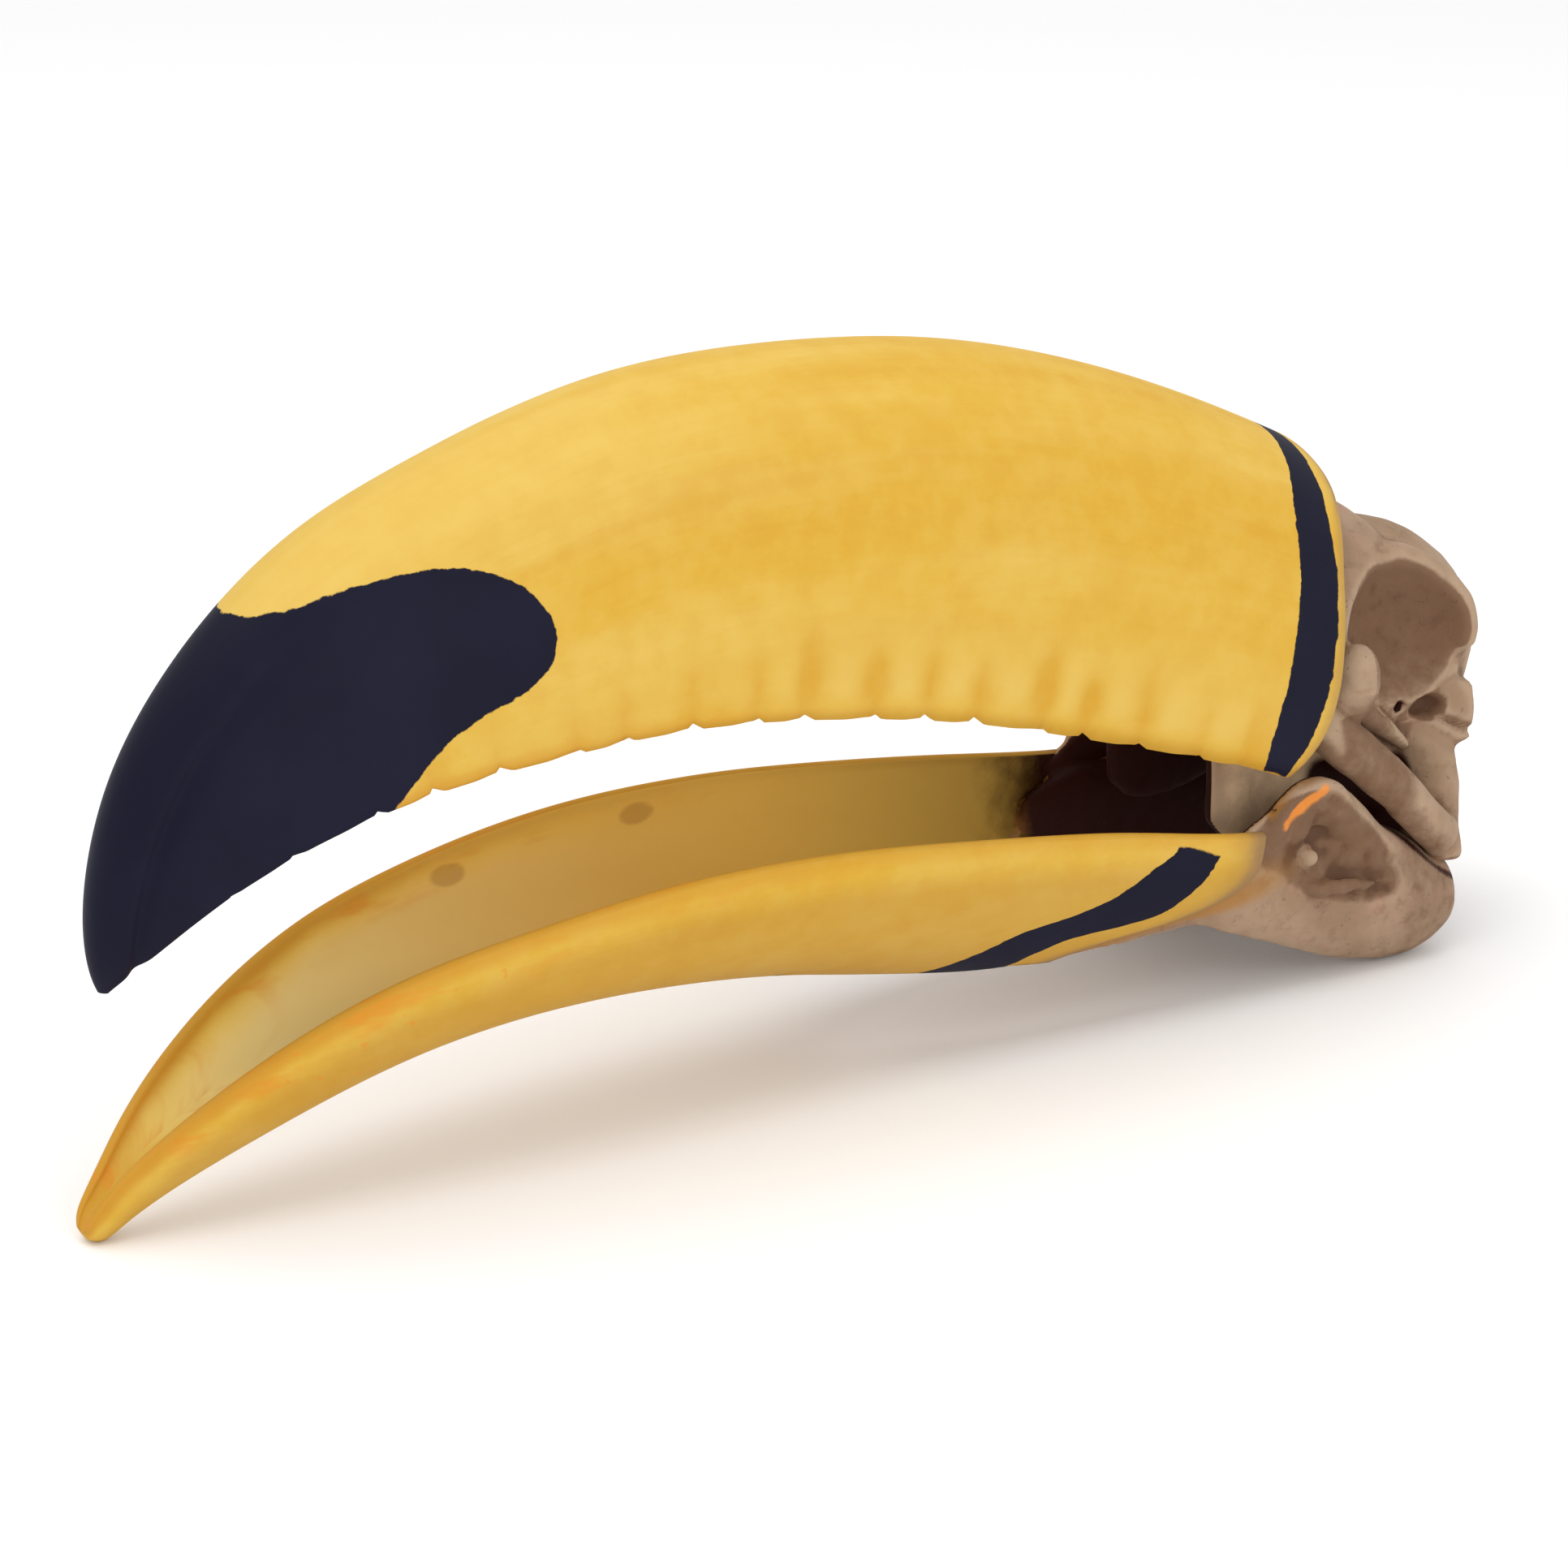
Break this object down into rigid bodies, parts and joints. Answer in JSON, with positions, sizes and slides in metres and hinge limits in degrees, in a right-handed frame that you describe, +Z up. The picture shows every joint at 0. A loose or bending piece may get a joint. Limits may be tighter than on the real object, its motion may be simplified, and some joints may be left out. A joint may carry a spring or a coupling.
{
  "type": "toucan skull cast",
  "caption": "Life-size painted cast of a toucan skull with its great curved bill a little open, resting on the tip and the back corners of the lower jaw.",
  "frame": {"origin": "on the floor, under the middle of the bounding box", "axes": "+X from the bill towards the braincase, +Y the animal's right side, +Z up"},
  "size_m": [0.2356, 0.0514, 0.1059],
  "materials": {
    "bill_yellow": "satin hand-painted yellow, amber in its streaks",
    "bill_black": "satin hand-painted blue-black",
    "bone": "matte painted taupe bone, darker in its hollows"
  },
  "bodies": {
    "root": {"upper_bill_tip": "bill_black", "upper_bill": "bill_yellow", "upper_bill_band": "bill_black", "upper_bill_base_rim": "bill_yellow", "lower_bill": "bill_yellow", "lower_bill_band_left": "bill_black", "lower_bill_band_right": "bill_black", "lower_bill_rim_left": "bill_yellow", "lower_bill_rim_right": "bill_yellow", "cranium": "bone", "jugal_bar_left": "bone", "jugal_bar_right": "bone", "quadrate_left": "bone", "quadrate_right": "bone", "pterygoid_left": "bone", "pterygoid_right": "bone", "palatine_left": "bone", "palatine_right": "bone", "mandible_bone_left": "bone", "mandible_bone_right": "bone"}
  },
  "joints": []
}
